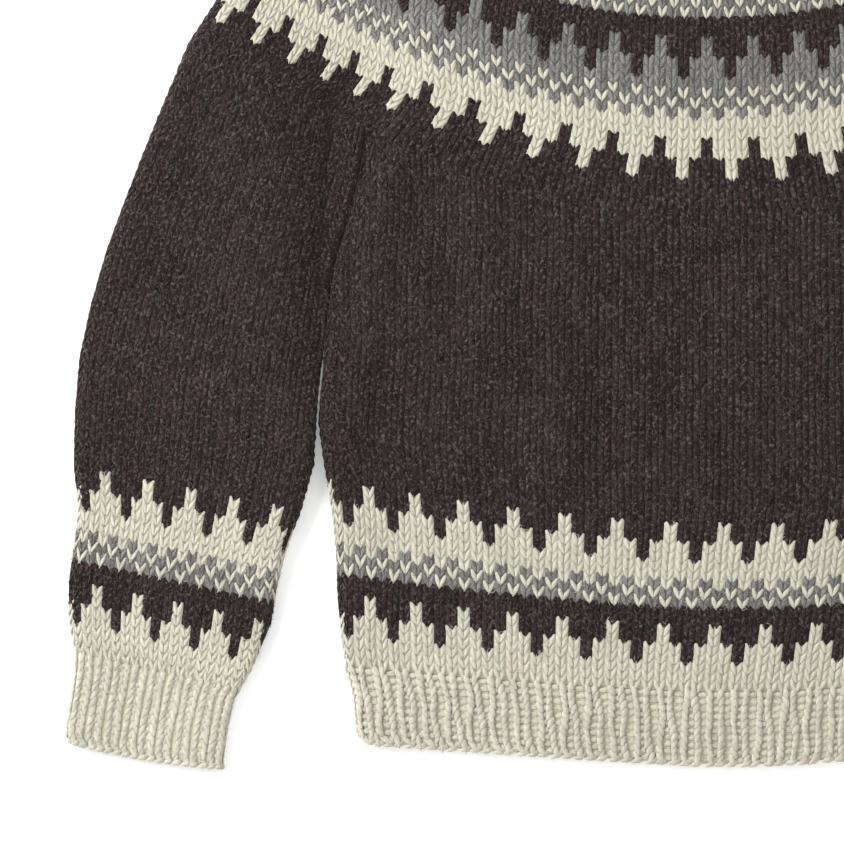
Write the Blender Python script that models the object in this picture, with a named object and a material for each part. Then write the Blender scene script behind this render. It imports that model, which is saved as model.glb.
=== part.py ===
"""Hand-knit jumper with a round yoke, laid flat with its front up.

Each piece is a knitted tube pressed flat. A section of it is one row of knitting: a front
and a back that lie on each other and a rounded fold at each side, with an outer skin and an
inner skin one cloth apart. Rows sag towards the middle of the garment, as the real ones do.

X runs across, Y up towards the neck, and Z out of the front. Sizes are in millimetres and
become metres when a mesh is made. Heights up the garment start at the middle of the hem.
"""

import math
from typing import NamedTuple

import bmesh
import bpy

METRE = 0.001

# The cloth: how thick it is, and how high the folded tube stands
WALL = 4.0
SEAM = 0.3
ROW_DEPTH = 5.9
MIDDLE_HEIGHT = 8.9
FOLD_HEIGHT = 11.4
PUFF_REACH = 42.0

# The body, whose rows run lower in the middle than at the side
HEM_EDGE_HALF_WIDTH = 212.7
HEM_EDGE_SIDE = 13.6
HEM_TOP_SIDE = 60.8
HEM_TOP_MIDDLE = 45.0
UNDERARM_SIDE = 393.7
UNDERARM_MIDDLE = 344.1

# How a row bends: near 1 it is a shallow V, and higher it is flatter in its middle
BAND_CURVE = 1.35
SLEEVE_CURVE = 2.0
YOKE_CURVE = 1.85
NECK_CURVE = 2.6

# The sleeve, which lies lower along the body, from this row up over so many rows
SLEEVE_CLEARANCE = 0.8
SLEEVE_JOIN_SAG = 2.1
SLEEVE_JOIN_ROWS = 17.0
SLEEVE_TOP_ROW = 62.0
UNDERARM_HEIGHT = 9.6
BODY_TOUCH_ROW = 24.0
BODY_TOUCH_ROWS = 16.0

# The yoke and the neckband
YOKE_ROWS = 38
NECK_FRONT = 582.0
NECK_BACK = 618.0
NECKBAND_DEPTH = 24.0
NECKBAND_HALF_WIDTH = 105.0

# The ribs, cut into the outer skin only
RIB_DEPTH = 1.2
POINTS_PER_RIB = 3
HEM_RIBS_ON_FRONT = 28
CUFF_RIBS_ON_FRONT = 9
NECK_RIBS_ON_FRONT = 17


class Colour(NamedTuple):
    """A yarn's colour, as linear red, green and blue."""

    red: float
    green: float
    blue: float


DARK_YARN = Colour(0.040, 0.030, 0.028)
CREAM_YARN = Colour(0.57, 0.55, 0.44)
GREY_YARN = Colour(0.30, 0.29, 0.27)


class BodyEdge(NamedTuple):
    """Where the side of the body lies: its height above the hem and its half width."""

    up: float
    half_width: float


BODY_EDGES = (
    BodyEdge(60.8, 224.8),
    BodyEdge(76.9, 227.5),
    BodyEdge(101.7, 230.0),
    BodyEdge(126.5, 230.6),
    BodyEdge(151.3, 232.5),
    BodyEdge(176.1, 236.2),
    BodyEdge(213.3, 241.2),
    BodyEdge(238.1, 239.9),
    BodyEdge(262.9, 238.1),
    BodyEdge(293.9, 234.4),
    BodyEdge(318.7, 229.4),
    BodyEdge(343.5, 222.0),
    BodyEdge(368.3, 217.0),
    BodyEdge(393.7, 213.3),
)


class SleeveRow(NamedTuple):
    """A row of the left sleeve: its outer end and its end next to the body, from the middle."""

    row: float
    outer_x: float
    outer_up: float
    inner_x: float
    inner_up: float


SLEEVE_SECTIONS = (
    SleeveRow(0.0, -393.1, 69.4, -287.7, 45.9),
    SleeveRow(2.0, -396.0, 83.0, -281.0, 57.6),
    SleeveRow(4.0, -397.1, 94.9, -275.9, 69.1),
    SleeveRow(7.0, -396.8, 114.1, -268.7, 87.4),
    SleeveRow(11.0, -393.0, 140.1, -264.3, 113.2),
    SleeveRow(14.0, -391.3, 159.3, -259.8, 132.3),
    SleeveRow(18.0, -393.7, 184.8, -251.1, 156.9),
    SleeveRow(23.5, -393.0, 218.6, -243.3, 185.5),
    SleeveRow(29.0, -390.2, 252.3, -242.0, 215.5),
    SleeveRow(34.5, -383.0, 285.6, -240.2, 245.4),
    SleeveRow(40.0, -373.6, 318.1, -237.4, 275.3),
    SleeveRow(45.5, -361.9, 350.0, -233.0, 304.9),
    SleeveRow(51.0, -349.5, 381.5, -225.7, 333.7),
    SleeveRow(56.5, -336.3, 412.7, -219.0, 362.7),
    SleeveRow(SLEEVE_TOP_ROW, -320.5, 449.5, -214.6, 394.2),
)


class CuffRow(NamedTuple):
    """A row of the left cuff, as a share of its depth from the sleeve down to its edge."""

    share: float
    outer_x: float
    outer_up: float
    inner_x: float
    inner_up: float
    sag: float


CUFF_SECTIONS = (
    CuffRow(0.0, -393.1, 69.4, -287.7, 45.9, 0.0),
    CuffRow(0.2, -393.2, 58.0, -291.6, 40.0, 0.5),
    CuffRow(0.55, -396.2, 39.0, -295.6, 22.5, 1.8),
    CuffRow(0.9, -397.3, 18.5, -297.9, 3.2, 3.4),
    CuffRow(1.0, -396.5, 14.0, -298.2, -2.0, 4.0),
)


class YokeEdge(NamedTuple):
    """Where the fold of the yoke lies at a share of its rows: its half width and its height."""

    share: float
    half_width: float
    up: float


YOKE_EDGES = (
    YokeEdge(0.0, 320.5, 449.5),
    YokeEdge(0.125, 304.4, 474.0),
    YokeEdge(0.25, 288.3, 499.1),
    YokeEdge(0.375, 270.9, 523.3),
    YokeEdge(0.5, 248.6, 546.2),
    YokeEdge(0.625, 220.1, 566.7),
    YokeEdge(0.75, 185.4, 584.0),
    YokeEdge(0.875, 149.4, 599.5),
    YokeEdge(1.0, 112.8, 613.8),
)


class Section(NamedTuple):
    """One row in plan and height: its two ends, how it sags, and how high its folds stand."""

    left_x: float
    left_up: float
    right_x: float
    right_up: float
    front_sag: float
    back_sag: float
    curve: float
    left_fold: float
    right_fold: float
    middle: float


class Grid(NamedTuple):
    """How many points a ring has along its front, round each fold and along its back."""

    front: int
    fold: int
    back: int


def between(low, high, share):
    """The value this share of the way from low to high."""
    return low + (high - low) * share


def smooth(share):
    """An eased share, flat at 0 and at 1."""
    share = min(max(share, 0.0), 1.0)
    return share * share * (3.0 - 2.0 * share)


def read(rows, field, key, value):
    """The column called field, read between the rows of a table at this value of key."""
    for low, high in zip(rows, rows[1:]):
        start, end = getattr(low, key), getattr(high, key)
        if value <= end or high is rows[-1]:
            share = (value - start) / (end - start)
            return between(getattr(low, field), getattr(high, field), share)
    return getattr(rows[0], field)


def plan_point(section, along, frontness):
    """Where a row lies in plan at along, from -1 at its left end to 1 at its right end.

    Frontness is 0 on the back, 1 on the front, and between them round a fold.
    """
    sag = between(section.back_sag, section.front_sag, frontness)
    share = (along + 1.0) / 2.0
    droop = sag * (1.0 - abs(along) ** section.curve)
    run_x = section.right_x - section.left_x
    run_up = section.right_up - section.left_up
    length = math.hypot(run_x, run_up)
    x = section.left_x + run_x * share + droop * run_up / length
    up = section.left_up + run_up * share - droop * run_x / length
    return x, up


def front_height(section, along, half):
    """The height of the outer skin over the front, which puffs up towards each fold."""
    fold = section.left_fold if along < 0 else section.right_fold
    from_end = half * (1.0 - abs(along))
    puff = smooth((PUFF_REACH - from_end) / (PUFF_REACH - fold / 2.0))
    return between(section.middle, fold, puff)


def ring_points(section, grid, inset, rib_depth):
    """The points of one skin of a row: its front, right fold, back and left fold in turn."""
    run_x = section.right_x - section.left_x
    run_up = section.right_up - section.left_up
    half = math.hypot(run_x, run_up) / 2.0
    left_start = 1.0 - section.left_fold / 2.0 / half
    right_start = 1.0 - section.right_fold / 2.0 / half
    points = []
    for step in range(grid.front):
        along = between(-left_start, right_start, step / (grid.front - 1))
        x, up = plan_point(section, along, 1.0)
        groove = rib_depth if step % POINTS_PER_RIB == 0 else 0.0
        points.append((x, up, front_height(section, along, half) - inset - groove))
    points += fold_points(section, grid, inset, rib_depth, half, 1.0)
    for step in range(grid.back):
        along = between(right_start, -left_start, step / (grid.back - 1))
        x, up = plan_point(section, along, 0.0)
        points.append((x, up, inset))
    points += fold_points(section, grid, inset, rib_depth, half, -1.0)[::-1]
    return points


def fold_points(section, grid, inset, rib_depth, half, side):
    """The points round one fold, from the top of the front down to the back."""
    radius = (section.right_fold if side > 0 else section.left_fold) / 2.0
    points = []
    for step in range(1, grid.fold + 1):
        angle = math.pi / 2.0 - math.pi * step / (grid.fold + 1)
        groove = rib_depth if rib_depth and step == 2 else 0.0
        reach = radius - inset - groove
        along = side * (half - radius + reach * math.cos(angle)) / half
        x, up = plan_point(section, along, (1.0 + math.sin(angle)) / 2.0)
        points.append((x, up, radius + reach * math.sin(angle)))
    return points


def tube(name, sections, grid, colour, rib_depths=None):
    """A flattened knitted tube through these rows, open at its first row and at its last."""
    depths = rib_depths or [0.0] * len(sections)
    outer = [ring_points(row, grid, 0.0, depth) for row, depth in zip(sections, depths)]
    inner = [ring_points(row, grid, WALL, 0.0) for row in sections]
    mesh = bmesh.new()
    skins = []
    for rings in (outer, inner):
        skins.append([[mesh.verts.new(point) for point in ring] for ring in rings])
    count = len(outer[0])
    for skin, rings in enumerate(skins):
        for low, high in zip(rings, rings[1:]):
            for here in range(count):
                there = (here + 1) % count
                corners = [low[here], low[there], high[there], high[here]]
                mesh.faces.new(corners[::-1] if skin else corners)
    for end, flip in ((0, True), (-1, False)):
        for here in range(count):
            there = (here + 1) % count
            outer_ring, inner_ring = skins[0][end], skins[1][end]
            for corners in (
                [outer_ring[here], outer_ring[there], inner_ring[there]],
                [outer_ring[here], inner_ring[there], inner_ring[here]],
            ):
                mesh.faces.new(corners[::-1] if flip else corners)
    bmesh.ops.recalc_face_normals(mesh, faces=mesh.faces)
    bmesh.ops.scale(mesh, vec=(METRE, METRE, METRE), verts=mesh.verts)
    data = bpy.data.meshes.new(name)
    mesh.to_mesh(data)
    mesh.free()
    data.shade_smooth()
    data.set_sharp_from_angle(angle=math.radians(50))
    data.materials.append(yarn(name + "_yarn", colour))
    piece = bpy.data.objects.new(name, data)
    bpy.context.scene.collection.objects.link(piece)
    return piece


def yarn(name, colour):
    """A soft matt wool."""
    material = bpy.data.materials.new(name)
    material.use_nodes = True
    shader = material.node_tree.nodes["Principled BSDF"]
    shader.inputs["Base Color"].default_value = (*colour, 1.0)
    shader.inputs["Roughness"].default_value = 0.95
    shader.inputs["Metallic"].default_value = 0.0
    return material


def body_section(share):
    """The row of the body this share of the way from the hem to the underarm."""
    side = between(HEM_TOP_SIDE, UNDERARM_SIDE, share)
    middle = between(HEM_TOP_MIDDLE, UNDERARM_MIDDLE, share)
    half = read(BODY_EDGES, "half_width", "up", side)
    curve = between(BAND_CURVE, YOKE_CURVE, share)
    sag = side - middle
    return Section(
        -half, side, half, side, sag, sag, curve, FOLD_HEIGHT, FOLD_HEIGHT, MIDDLE_HEIGHT
    )


def build_body():
    """The body tube, from the ribbed hem to the seam at the underarm."""
    rise = UNDERARM_SIDE - HEM_TOP_SIDE
    shares = [(edge.up - HEM_TOP_SIDE) / rise for edge in BODY_EDGES]
    shares[0] += SEAM / rise
    shares[-1] -= SEAM / rise
    sections = [body_section(share) for share in shares]
    return tube("body", sections, Grid(25, 4, 15), DARK_YARN)


def build_hem():
    """The ribbed welt below the body, drawn in a little towards its edge."""
    top = body_section(0.0)
    sections = []
    for share in (0.0, 0.1, 0.5, 0.9, 1.0):
        half = between(HEM_EDGE_HALF_WIDTH, top.right_x, math.sin(share * math.pi / 2.0))
        side = between(HEM_EDGE_SIDE, top.left_up, share)
        sag = between(HEM_EDGE_SIDE, top.front_sag, share)
        sections.append(
            Section(
                -half, side, half, side, sag, sag, top.curve, FOLD_HEIGHT, FOLD_HEIGHT, MIDDLE_HEIGHT
            )
        )
    grid = Grid(HEM_RIBS_ON_FRONT * POINTS_PER_RIB + 1, 4, 15)
    depths = [RIB_DEPTH, RIB_DEPTH, RIB_DEPTH, RIB_DEPTH, 0.0]
    return tube("hem_rib", sections, grid, CREAM_YARN, depths)


def mirrored(section):
    """The same row on the other side of the garment."""
    return Section(
        -section.right_x,
        section.right_up,
        -section.left_x,
        section.left_up,
        section.front_sag,
        section.back_sag,
        section.curve,
        section.right_fold,
        section.left_fold,
        section.middle,
    )


def sleeve_section(row):
    """A row of the left sleeve, lower where it lies against the body."""
    near_body = smooth((row - BODY_TOUCH_ROW) / BODY_TOUCH_ROWS)
    near_yoke = smooth(1.0 - (SLEEVE_TOP_ROW - row) / SLEEVE_JOIN_ROWS)
    sag = SLEEVE_JOIN_SAG * near_yoke
    return Section(
        read(SLEEVE_SECTIONS, "outer_x", "row", row),
        read(SLEEVE_SECTIONS, "outer_up", "row", row),
        read(SLEEVE_SECTIONS, "inner_x", "row", row) - SLEEVE_CLEARANCE,
        read(SLEEVE_SECTIONS, "inner_up", "row", row),
        sag,
        sag,
        SLEEVE_CURVE,
        FOLD_HEIGHT,
        between(FOLD_HEIGHT, UNDERARM_HEIGHT, near_body),
        MIDDLE_HEIGHT,
    )


def build_sleeves():
    """Both sleeves, from the cuff to the seam with the yoke."""
    rows = [section.row for section in SLEEVE_SECTIONS]
    rows[0] += SEAM / ROW_DEPTH
    rows[-1] -= SEAM / ROW_DEPTH
    left = [sleeve_section(row) for row in rows]
    right = [mirrored(section) for section in left]
    grid = Grid(13, 4, 9)
    return [
        tube("sleeve_left", left, grid, DARK_YARN),
        tube("sleeve_right", right, grid, DARK_YARN),
    ]


def build_cuffs():
    """Both ribbed cuffs."""
    left = [
        Section(
            row.outer_x,
            row.outer_up,
            row.inner_x - SLEEVE_CLEARANCE,
            row.inner_up,
            row.sag,
            row.sag,
            SLEEVE_CURVE,
            FOLD_HEIGHT,
            FOLD_HEIGHT,
            MIDDLE_HEIGHT,
        )
        for row in CUFF_SECTIONS[::-1]
    ]
    right = [mirrored(section) for section in left]
    grid = Grid(CUFF_RIBS_ON_FRONT * POINTS_PER_RIB + 1, 4, 9)
    depths = [RIB_DEPTH, RIB_DEPTH, RIB_DEPTH, RIB_DEPTH, 0.0]
    return [
        tube("cuff_left", left, grid, CREAM_YARN, depths),
        tube("cuff_right", right, grid, CREAM_YARN, depths),
    ]


def yoke_section(share):
    """A row of the yoke, whose back climbs higher than its front towards the neck."""
    half = read(YOKE_EDGES, "half_width", "share", share)
    side = read(YOKE_EDGES, "up", "share", share)
    front = between(UNDERARM_MIDDLE, NECK_FRONT, share)
    back = between(UNDERARM_MIDDLE, NECK_BACK, share)
    curve = between(YOKE_CURVE, NECK_CURVE, share)
    return Section(
        -half,
        side,
        half,
        side,
        side - front,
        side - back,
        curve,
        FOLD_HEIGHT,
        FOLD_HEIGHT,
        MIDDLE_HEIGHT,
    )


def build_yoke():
    """The round yoke, one ring that takes in the body and both sleeves at its foot."""
    shares = [edge.share for edge in YOKE_EDGES]
    shares[0] += SEAM / ROW_DEPTH / YOKE_ROWS
    shares[-1] -= SEAM / ROW_DEPTH / YOKE_ROWS
    sections = [yoke_section(share) for share in shares]
    return tube("yoke", sections, Grid(45, 4, 27), GREY_YARN)


def build_neckband():
    """The ribbed band round the neck, its back standing above its front."""
    seam = yoke_section(1.0)
    sections = []
    clear = SEAM / 2.0 / NECKBAND_DEPTH
    for share in (clear, 0.15, 0.85, 1.0):
        half = between(seam.right_x, NECKBAND_HALF_WIDTH, share)
        side = between(seam.left_up, seam.left_up + NECKBAND_DEPTH, share)
        sections.append(
            Section(
                -half,
                side,
                half,
                side,
                seam.front_sag,
                seam.back_sag,
                seam.curve,
                FOLD_HEIGHT,
                FOLD_HEIGHT,
                MIDDLE_HEIGHT,
            )
        )
    grid = Grid(NECK_RIBS_ON_FRONT * POINTS_PER_RIB + 1, 4, 17)
    return tube("neckband", sections, grid, CREAM_YARN, [0.0, RIB_DEPTH, RIB_DEPTH, RIB_DEPTH])


def clear_scene():
    """Takes away what the scene starts with."""
    for item in list(bpy.data.objects):
        bpy.data.objects.remove(item)


def centre_on_origin(pieces):
    """Moves the meshes so that the garment's box stands centred on the origin."""
    corners = [vertex.co for piece in pieces for vertex in piece.data.vertices]
    lows = [min(corner[axis] for corner in corners) for axis in range(3)]
    highs = [max(corner[axis] for corner in corners) for axis in range(3)]
    shift = (-(lows[0] + highs[0]) / 2.0, -(lows[1] + highs[1]) / 2.0, -lows[2])
    for piece in pieces:
        for vertex in piece.data.vertices:
            vertex.co.x += shift[0]
            vertex.co.y += shift[1]
            vertex.co.z += shift[2]


def main():
    clear_scene()
    pieces = [build_body(), build_hem(), build_yoke(), build_neckband()]
    pieces += build_sleeves()
    pieces += build_cuffs()
    centre_on_origin(pieces)


main()
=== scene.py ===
"""Looks of a hand-knit jumper with a round patterned yoke, laid flat with its front up.

Each knitted tube has a thin ground shell, in the colours of its chart, and on its front and
round its folds every stitch is a real pair of strands. X runs across, Y up towards the neck and
Z out of the front. Sizes are in millimetres, as in the maker's notes, and become metres when a
mesh is made. Heights up the garment start at the middle of the hem.
"""

from __future__ import annotations

import logging
import math
from dataclasses import dataclass, field
from enum import Enum

import bpy
import numpy as np
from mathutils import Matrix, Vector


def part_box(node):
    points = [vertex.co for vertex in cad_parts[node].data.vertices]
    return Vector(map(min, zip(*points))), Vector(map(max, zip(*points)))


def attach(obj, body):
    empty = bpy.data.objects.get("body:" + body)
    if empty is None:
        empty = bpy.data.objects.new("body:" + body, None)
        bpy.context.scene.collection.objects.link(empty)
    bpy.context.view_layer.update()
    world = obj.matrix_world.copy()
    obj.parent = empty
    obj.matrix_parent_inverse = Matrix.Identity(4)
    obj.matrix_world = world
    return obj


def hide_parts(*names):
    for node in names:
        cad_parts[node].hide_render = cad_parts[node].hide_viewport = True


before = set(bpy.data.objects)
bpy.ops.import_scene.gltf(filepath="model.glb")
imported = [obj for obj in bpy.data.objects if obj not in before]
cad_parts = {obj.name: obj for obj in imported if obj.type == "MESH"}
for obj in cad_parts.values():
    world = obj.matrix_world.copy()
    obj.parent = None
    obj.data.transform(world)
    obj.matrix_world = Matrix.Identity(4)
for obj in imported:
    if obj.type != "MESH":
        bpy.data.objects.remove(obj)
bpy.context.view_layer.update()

MM = 0.001
LOG = logging.getLogger("jumper")

# The photograph: its side in pixels, how much of the garment a pixel takes in, and its middle
PHOTO_SIDE = 844
MM_PER_PIXEL = 0.62
PHOTO_CENTRE = (-176.7, 212.0)


class Yarn(Enum):
    """The three yarns, by the letter that the charts use."""

    DARK = "d"
    GREY = "g"
    CREAM = "c"


@dataclass(frozen=True)
class YarnLook:
    """How a yarn looks: its colour, how mixed its fibres are, its pale flecks and its tint."""

    colour: tuple[float, float, float]
    heather: float
    fleck: float
    tint: float


YARN_LOOKS = {
    Yarn.DARK: YarnLook((0.0215, 0.0145, 0.0137), 1.0, 1.0, 0.8),
    Yarn.GREY: YarnLook((0.166, 0.164, 0.157), 0.6, 0.3, 0.1),
    Yarn.CREAM: YarnLook((0.478, 0.463, 0.384), 0.08, 0.0, 0.12),
}
YARNS = list(Yarn)


@dataclass(frozen=True)
class ChartBand:
    """Rows that are knitted alike: how many, and the yarn of each stitch of the repeat."""

    rows: int
    stitches: str


REPEAT = 4

# The bands of the body and the sleeves, from the rib up. The first stitch is under a peak.
LOWER_CHART = (
    ChartBand(3, "cccc"),
    ChartBand(2, "ccdc"),
    ChartBand(2, "cddd"),
    ChartBand(2, "dddd"),
    ChartBand(1, "cgcg"),
    ChartBand(1, "gcgc"),
    ChartBand(1, "cgcg"),
    ChartBand(2, "cccc"),
    ChartBand(2, "ccdc"),
    ChartBand(2, "cddd"),
    ChartBand(60, "dddd"),
)

# The yoke, from the underarm up. The first stitch is over a drop.
YOKE_CHART = (
    ChartBand(3, "dddd"),
    ChartBand(2, "cddd"),
    ChartBand(2, "ccdc"),
    ChartBand(2, "cccc"),
    ChartBand(1, "cgcg"),
    ChartBand(1, "gcgc"),
    ChartBand(1, "cgcg"),
    ChartBand(1, "gggg"),
    ChartBand(2, "dggg"),
    ChartBand(2, "ddgd"),
    ChartBand(2, "dddd"),
    ChartBand(1, "cgcg"),
    ChartBand(1, "gcgc"),
    ChartBand(1, "cgcg"),
    ChartBand(2, "cccc"),
    ChartBand(60, "dddd"),
)

PLAIN_CREAM = (ChartBand(60, "cccc"),)


def chart_yarn(chart: tuple[ChartBand, ...], row: int, column: int) -> Yarn:
    """The yarn of one stitch.

    Args:
        chart: The bands, from the first row up.
        row: The stitch's row, from 0.
        column: The stitch's place in the row, where each repeat starts at a multiple of four.

    Returns:
        The yarn it is knitted in.
    """
    for band in chart:
        if row < band.rows:
            return Yarn(band.stitches[column % REPEAT])
        row -= band.rows
    return Yarn(chart[-1].stitches[column % REPEAT])


def smooth(share: np.ndarray | float) -> np.ndarray:
    """An eased share, flat at 0 and at 1."""
    share = np.clip(share, 0.0, 1.0)
    return share * share * (3.0 - 2.0 * share)


def between(low: float, high: float, share: float) -> float:
    """The value this share of the way from low to high."""
    return low + (high - low) * share


@dataclass(frozen=True)
class Crease:
    """A soft ridge, or a trough where its height is negative, from one point to another.

    Its width is the same on both sides, unless the one on its left hand is given too.
    """

    x: float
    up: float
    to_x: float
    to_up: float
    width: float
    height: float
    left_width: float | None = None

    END_REACH = 1.6

    def lift(self, points: np.ndarray) -> np.ndarray:
        """How far the cloth rises at each point of the garment's plan."""
        run = np.array([self.to_x - self.x, self.to_up - self.up])
        length = float(np.hypot(*run))
        along = run / length
        away = points[..., :2] - np.array([self.x, self.up])
        reach = away @ along
        side = away @ np.array([-along[1], along[0]])
        past = np.maximum(np.abs(reach - length / 2.0) - length / 2.0, 0.0)
        width = np.where(side > 0.0, self.left_width or self.width, self.width)
        distance = (side / width) ** 2 + (past / (self.END_REACH * self.width)) ** 2
        return self.height * np.exp(-distance)


# Laid one by one: the valley of each sleeve along the body, the armpits, and faint waves elsewhere
CREASES = (
    Crease(-277.0, 424.0, -263.0, 222.0, 58.0, 9.4, 31.0),
    Crease(-218.0, 404.0, -240.0, 250.0, 18.0, -5.4),
    Crease(-221.0, 394.0, -217.0, 374.0, 13.0, -4.0),
    Crease(-345.0, 215.0, -340.0, 150.0, 26.0, 1.4),
    Crease(-192.0, 384.0, -222.0, 214.0, 12.0, 2.8),
    Crease(-176.0, 352.0, -158.0, 276.0, 15.0, -3.0),
    Crease(-140.0, 334.0, -137.0, 272.0, 16.0, 2.2),
    Crease(-212.0, 238.0, -160.0, 224.0, 13.0, -2.2),
    Crease(-92.0, 262.0, -90.0, 200.0, 14.0, 2.0),
    Crease(-68.0, 252.0, -60.0, 190.0, 12.0, -2.8),
    Crease(-12.0, 196.0, -6.0, 160.0, 12.0, 1.4),
    Crease(17.0, 184.0, 22.0, 158.0, 13.0, -2.3),
    Crease(-120.0, 112.0, -20.0, 120.0, 24.0, 0.8),
    Crease(-236.0, 482.0, -122.0, 442.0, 28.0, 1.0),
    Crease(-56.0, 520.0, 52.0, 512.0, 26.0, -0.9),
    Crease(266.0, 238.0, 279.0, 414.0, 56.0, 8.4, 30.0),
    Crease(220.0, 400.0, 241.0, 262.0, 18.0, -4.6),
    Crease(222.0, 392.0, 217.0, 377.0, 13.0, -3.4),
    Crease(350.0, 170.0, 338.0, 118.0, 22.0, 1.3),
    Crease(195.0, 370.0, 222.0, 240.0, 14.0, 2.5),
    Crease(176.0, 330.0, 168.0, 270.0, 18.0, 1.3),
    Crease(134.0, 300.0, 122.0, 236.0, 20.0, -1.5),
    Crease(92.0, 262.0, 84.0, 210.0, 16.0, 1.3),
    Crease(60.0, 130.0, 138.0, 118.0, 24.0, 0.9),
    Crease(130.0, 452.0, 232.0, 486.0, 27.0, 1.1),
)


@dataclass(frozen=True)
class Section:
    """One row in plan and height: its two ends, how it sags, and how high its folds stand.

    It may stay level for a share of its half past the middle.
    """

    left_x: float
    left_up: float
    right_x: float
    right_up: float
    front_sag: float
    back_sag: float
    curve: float
    left_fold: float
    right_fold: float
    middle: float
    level: float = 0.0

    PUFF_REACH = 42.0
    CREASE_START = 3.0
    LOWEST_FRONT = 6.4

    def half(self) -> float:
        """Half the straight distance between the two ends."""
        return math.hypot(self.right_x - self.left_x, self.right_up - self.left_up) / 2.0

    def front_length(self) -> float:
        """The length of the row over its front, from the middle of one fold to the other's."""
        radii = (self.left_fold + self.right_fold) / 2.0
        return 2.0 * self.half() - radii + radii * math.pi / 2.0

    def skin(self, turns: np.ndarray, inset: float | np.ndarray, under: float) -> np.ndarray:
        """Points on one skin of the row.

        Args:
            turns: Places round the ring, 0 at the left fold, 0.5 at the right, the front between.
            inset: How far the skin lies inside the front and the folds.
            under: How far it lies above the floor on the back.

        Returns:
            One point for each turn, in millimetres.
        """
        turns = np.mod(turns, 1.0)
        front = turns < 0.5
        share = np.where(front, turns * 2.0, 2.0 - turns * 2.0)
        left, right = self.left_fold / 2.0, self.right_fold / 2.0
        half = self.half()
        flat = 2.0 * half - left - right
        whole = self.front_length()
        arc = share * whole
        left_angle = np.clip(arc / left, 0.0, math.pi / 2.0)
        right_angle = np.clip((whole - arc) / right, 0.0, math.pi / 2.0)
        rise = np.minimum(np.sin(left_angle), np.sin(right_angle))
        frontness = np.where(front, 1.0 + rise, 1.0 - rise) / 2.0
        inset = under + (inset - under) * smooth(frontness * 2.0)
        on_flat = np.clip(arc - left * math.pi / 2.0, 0.0, flat)
        across = (
            left
            - half
            + on_flat
            - (left - inset) * np.cos(left_angle)
            + (right - inset) * np.cos(right_angle)
        )
        radius = np.where(share < 0.5, left, right)
        fold_height = radius + np.where(front, 1.0, -1.0) * (radius - inset) * rise
        from_end = half - np.abs(across)
        puff = smooth((self.PUFF_REACH - from_end) / (self.PUFF_REACH - radius))
        front_height = self.middle + (2.0 * radius - self.middle) * puff - inset
        height = np.where(front & (rise >= 1.0), front_height, fold_height)
        along = np.clip(across / half, -1.0, 1.0)
        sag = self.back_sag + (self.front_sag - self.back_sag) * frontness
        level = np.where(along > 0.0, self.level, 0.0)
        past = np.clip((np.abs(along) - level) / (1.0 - level), 0.0, 1.0)
        droop = sag * (1.0 - past**self.curve)
        run_x = (self.right_x - self.left_x) / (2.0 * half)
        run_up = (self.right_up - self.left_up) / (2.0 * half)
        x = (self.left_x + self.right_x) / 2.0 + across * run_x + droop * run_up
        up = (self.left_up + self.right_up) / 2.0 + across * run_up - droop * run_x
        points = np.stack([x, up, height], axis=-1)
        lift = sum(crease.lift(points) for crease in CREASES)
        points[..., 2] += lift * smooth((points[..., 2] - self.CREASE_START) / self.CREASE_START)
        lowest = self.LOWEST_FRONT - inset
        pressed = front & (rise >= 1.0) & (points[..., 2] < lowest)
        points[..., 2] = np.maximum(np.where(pressed, lowest, points[..., 2]), under)
        return points

    def mirrored(self) -> Section:
        """The same row on the other side of the garment."""
        return Section(
            -self.right_x,
            self.right_up,
            -self.left_x,
            self.left_up,
            self.front_sag,
            self.back_sag,
            self.curve,
            self.right_fold,
            self.left_fold,
            self.middle,
        )


def read_rows(rows: list[tuple[float, ...]], at: float) -> np.ndarray:
    """A row of a table, read between its own rows at this value of the first column."""
    table = np.array(rows)
    return np.array([np.interp(at, table[:, 0], column) for column in table.T[1:]])


@dataclass(frozen=True)
class StrandSize:
    """A strand: its size, its lean to its side, the dip of its top and how far each may stray."""

    width: float
    length: float
    depth: float
    lean: float
    tuck: float
    wander: float


KNIT_STRAND = StrandSize(3.55, 10.3, 2.4, math.radians(18.0), math.radians(5.0), math.radians(8.5))
RIB_STRAND = StrandSize(4.4, 9.2, 3.0, math.radians(15.0), math.radians(6.0), math.radians(8.0))
PURL_BAR = StrandSize(4.4, 8.8, 2.9, 0.0, 0.0, math.radians(8.0))
EDGE_STRAND = StrandSize(4.6, 10.0, 3.8, 0.0, math.radians(8.0), math.radians(11.0))
STRAY_FIBRE = StrandSize(0.4, 3.6, 3.6, 0.0, 0.0, math.radians(85.0))


@dataclass
class Strands:
    """Strands to be laid on a skin, each with its place, its two directions and its yarn."""

    places: list[np.ndarray] = field(default_factory=list)
    axes: list[np.ndarray] = field(default_factory=list)
    facings: list[np.ndarray] = field(default_factory=list)
    hands: list[np.ndarray] = field(default_factory=list)
    sizes: list[np.ndarray] = field(default_factory=list)
    yarns: list[np.ndarray] = field(default_factory=list)

    def add(
        self,
        places: np.ndarray,
        axes: np.ndarray,
        facings: np.ndarray,
        hand: float | np.ndarray,
        widths: np.ndarray,
        lengths: np.ndarray,
        yarns: np.ndarray,
    ) -> None:
        """Adds strands.

        Args:
            places: Their middles, in millimetres.
            axes: The direction that each runs in.
            facings: The direction that each faces, out of the cloth.
            hand: How far they lean against the usual lean, below 0 to the left.
            widths: Each one's width against the usual one.
            lengths: Each one's length against the usual one.
            yarns: Each one's yarn, as its place in the list of yarns.
        """
        count = len(places)
        self.places.append(places)
        self.axes.append(axes)
        self.facings.append(facings)
        self.hands.append(np.full(count, 1.0) * hand)
        self.sizes.append(np.stack([widths, lengths, widths], axis=-1))
        self.yarns.append(yarns)


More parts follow.
